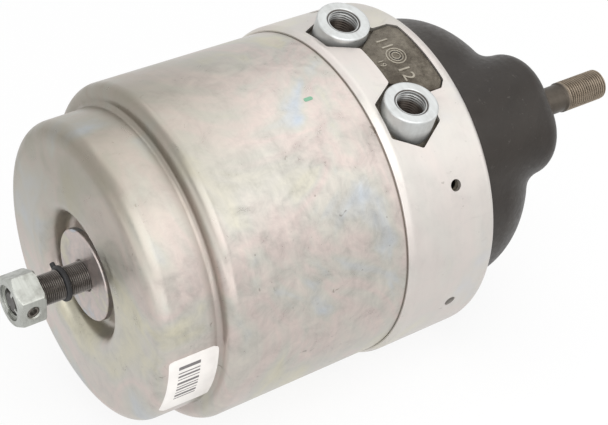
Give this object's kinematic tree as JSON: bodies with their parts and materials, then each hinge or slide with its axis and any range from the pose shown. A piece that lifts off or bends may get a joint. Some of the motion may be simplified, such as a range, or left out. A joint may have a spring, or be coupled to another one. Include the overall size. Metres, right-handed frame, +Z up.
{
  "type": "air brake chamber",
  "caption": "Air operated spring brake chamber for a disc brake, with a service diaphragm, a spring piston, a push rod and a release spindle.",
  "frame": {"origin": "centre of the flat mounting face, where the push rod comes out", "axes": "+X along the axis, out of the mounting face with the push rod and the studs; +Z up; the ports face up and towards -Y"},
  "size_m": [0.3256, 0.1768, 0.1878],
  "materials": {
    "cylinder_zinc": "satin zinc plate",
    "band_steel": "smooth satin",
    "casting": "as cast",
    "housing_black": "satin",
    "port_zinc": "bright zinc plate",
    "stud_bronze": "dull plated",
    "bright_steel": "turned",
    "dark_steel": "oiled",
    "spring_steel": "coated",
    "inner_alloy": "cast",
    "rubber": "matt",
    "plastic": "matt"
  },
  "bodies": {
    "chamber": {"spring_cylinder": "cylinder_zinc", "release_bush": "bright_steel", "spring_seat_ring": "plastic", "power_spring": "spring_steel", "flange_casting": "casting", "service_port_insert": "port_zinc", "spring_port_insert": "port_zinc", "flange_seal_ring": "rubber", "plunger_seal": "rubber", "plunger_guide_ring": "plastic", "clamp_band": "band_steel", "service_housing": "housing_black", "upper_mounting_stud": "stud_bronze", "lower_mounting_stud": "stud_bronze", "diaphragm": "rubber", "return_spring": "spring_steel", "push_rod_gaiter": "rubber", "gaiter_retaining_ring": "dark_steel"},
    "spring_brake_piston": {"spring_piston": "inner_alloy", "piston_guide_ring": "plastic", "piston_lip_seal": "rubber", "plunger_tube": "bright_steel", "plunger_cap": "plastic"},
    "washer": {"thrust_washer": "bright_steel"},
    "spindle": {"release_spindle": "dark_steel", "release_hexagon": "bright_steel", "hexagon_cross_pin": "dark_steel", "spindle_stop_ring": "dark_steel", "spindle_head": "bright_steel"},
    "service_rod": {"pressure_plate": "bright_steel", "push_rod": "bright_steel"}
  },
  "joints": [
    {"name": "service_stroke", "type": "slide", "parent": "chamber", "child": "service_rod", "axis": [1, 0, 0], "range_m": [0, 0.057], "stiffness_N_per_m": 2500, "springref_m": -0.02, "deforming": ["return_spring", "diaphragm", "push_rod_gaiter"]},
    {"name": "piston_travel", "type": "slide", "parent": "chamber", "child": "spring_brake_piston", "axis": [1, 0, 0], "range_m": [-0.004, 0], "stiffness_N_per_m": 5000, "springref_m": 0.02, "deforming": ["power_spring"]},
    {"name": "release_travel", "type": "slide", "parent": "chamber", "child": "washer", "axis": [1, 0, 0], "range_m": [-0.049, 0.008]},
    {"name": "release_turn", "type": "hinge", "parent": "washer", "child": "spindle", "pos_m": [0, 0, 0], "axis": [1, 0, 0], "range_deg": [-17640, 2880]}
  ],
  "couplings": [
    {"joint": "release_turn", "follows": "release_travel", "rad_per_m": 6283.2}
  ]
}
